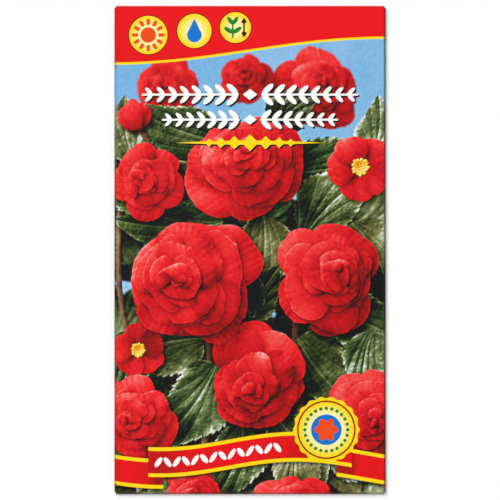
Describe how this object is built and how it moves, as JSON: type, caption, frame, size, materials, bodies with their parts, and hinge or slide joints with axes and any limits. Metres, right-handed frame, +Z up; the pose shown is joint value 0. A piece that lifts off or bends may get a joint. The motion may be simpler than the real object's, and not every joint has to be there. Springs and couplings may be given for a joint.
{
  "type": "seed packet",
  "caption": "Flat folded paper seed packet, glued shut at a long back seam and two end flaps, holding a sealed foil sachet of coated seeds.",
  "frame": {"origin": "on the surface that the packet lies on, under the middle of its outline", "axes": "+X to the packet's right and +Y to its top as the printed front is read, +Z up out of the front"},
  "size_m": [0.08, 0.144, 0.003],
  "materials": {
    "printed_paper": "coated paper printed in full colour, satin varnish",
    "dried_glue": "dried clear cream glue",
    "foil_film": "bright foil laminate with pressed seals",
    "seed_coat": "matte clay coating"
  },
  "bodies": {
    "root": {"envelope": "printed_paper", "seam_glue": "dried_glue", "bottom_flap_glue": "dried_glue", "top_flap_glue": "dried_glue", "sachet_back_film": "foil_film", "sachet_front_film": "foil_film", "seed_1": "seed_coat", "seed_2": "seed_coat", "seed_3": "seed_coat", "seed_4": "seed_coat", "seed_5": "seed_coat", "seed_6": "seed_coat", "seed_7": "seed_coat", "seed_8": "seed_coat", "seed_9": "seed_coat", "seed_10": "seed_coat"}
  },
  "joints": []
}
